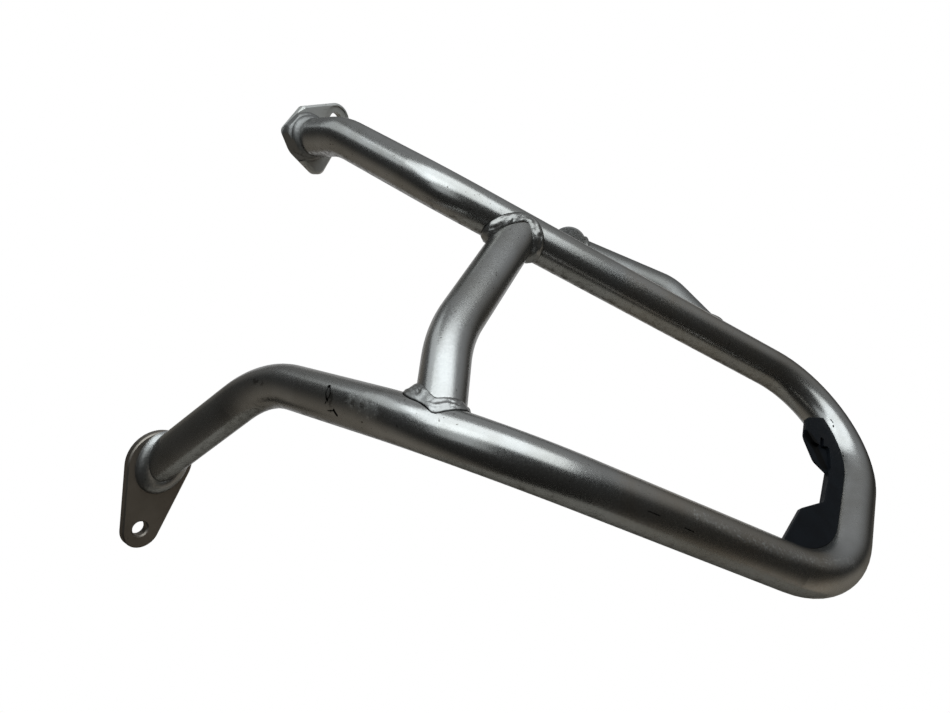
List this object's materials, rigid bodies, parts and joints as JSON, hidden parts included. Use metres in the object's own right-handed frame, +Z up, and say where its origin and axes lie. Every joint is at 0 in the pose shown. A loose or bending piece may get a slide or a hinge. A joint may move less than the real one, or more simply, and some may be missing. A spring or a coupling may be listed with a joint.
{
  "type": "motorcycle crash bar",
  "caption": "Welded round-tube engine guard for one side of a motorcycle, with two bolt-on plates, a braced rear eye and a moulded corner insert.",
  "frame": {"origin": "centre of the lower bolt hole on the lower plate's mounting face", "axes": "+X along the lower bolt, outboard from the machine; +Y towards the rear; +Z up"},
  "size_m": [0.3525, 0.34, 0.2989],
  "materials": {
    "silver_paint": "satin silver coat with scuffs",
    "weld_bead": "rippled weld under the same silver coat",
    "black_rubber": "matte moulded"
  },
  "bodies": {
    "root": {"hoop_tube": "silver_paint", "cross_tube": "silver_paint", "rear_strut": "silver_paint", "strut_eye": "silver_paint", "lower_mount_plate": "silver_paint", "upper_mount_flange": "silver_paint", "corner_insert": "black_rubber", "weld_plate": "weld_bead", "weld_flange": "weld_bead", "weld_cross_upper": "weld_bead", "weld_cross_lower": "weld_bead", "weld_strut_hoop": "weld_bead", "weld_strut_eye": "weld_bead"}
  },
  "joints": []
}
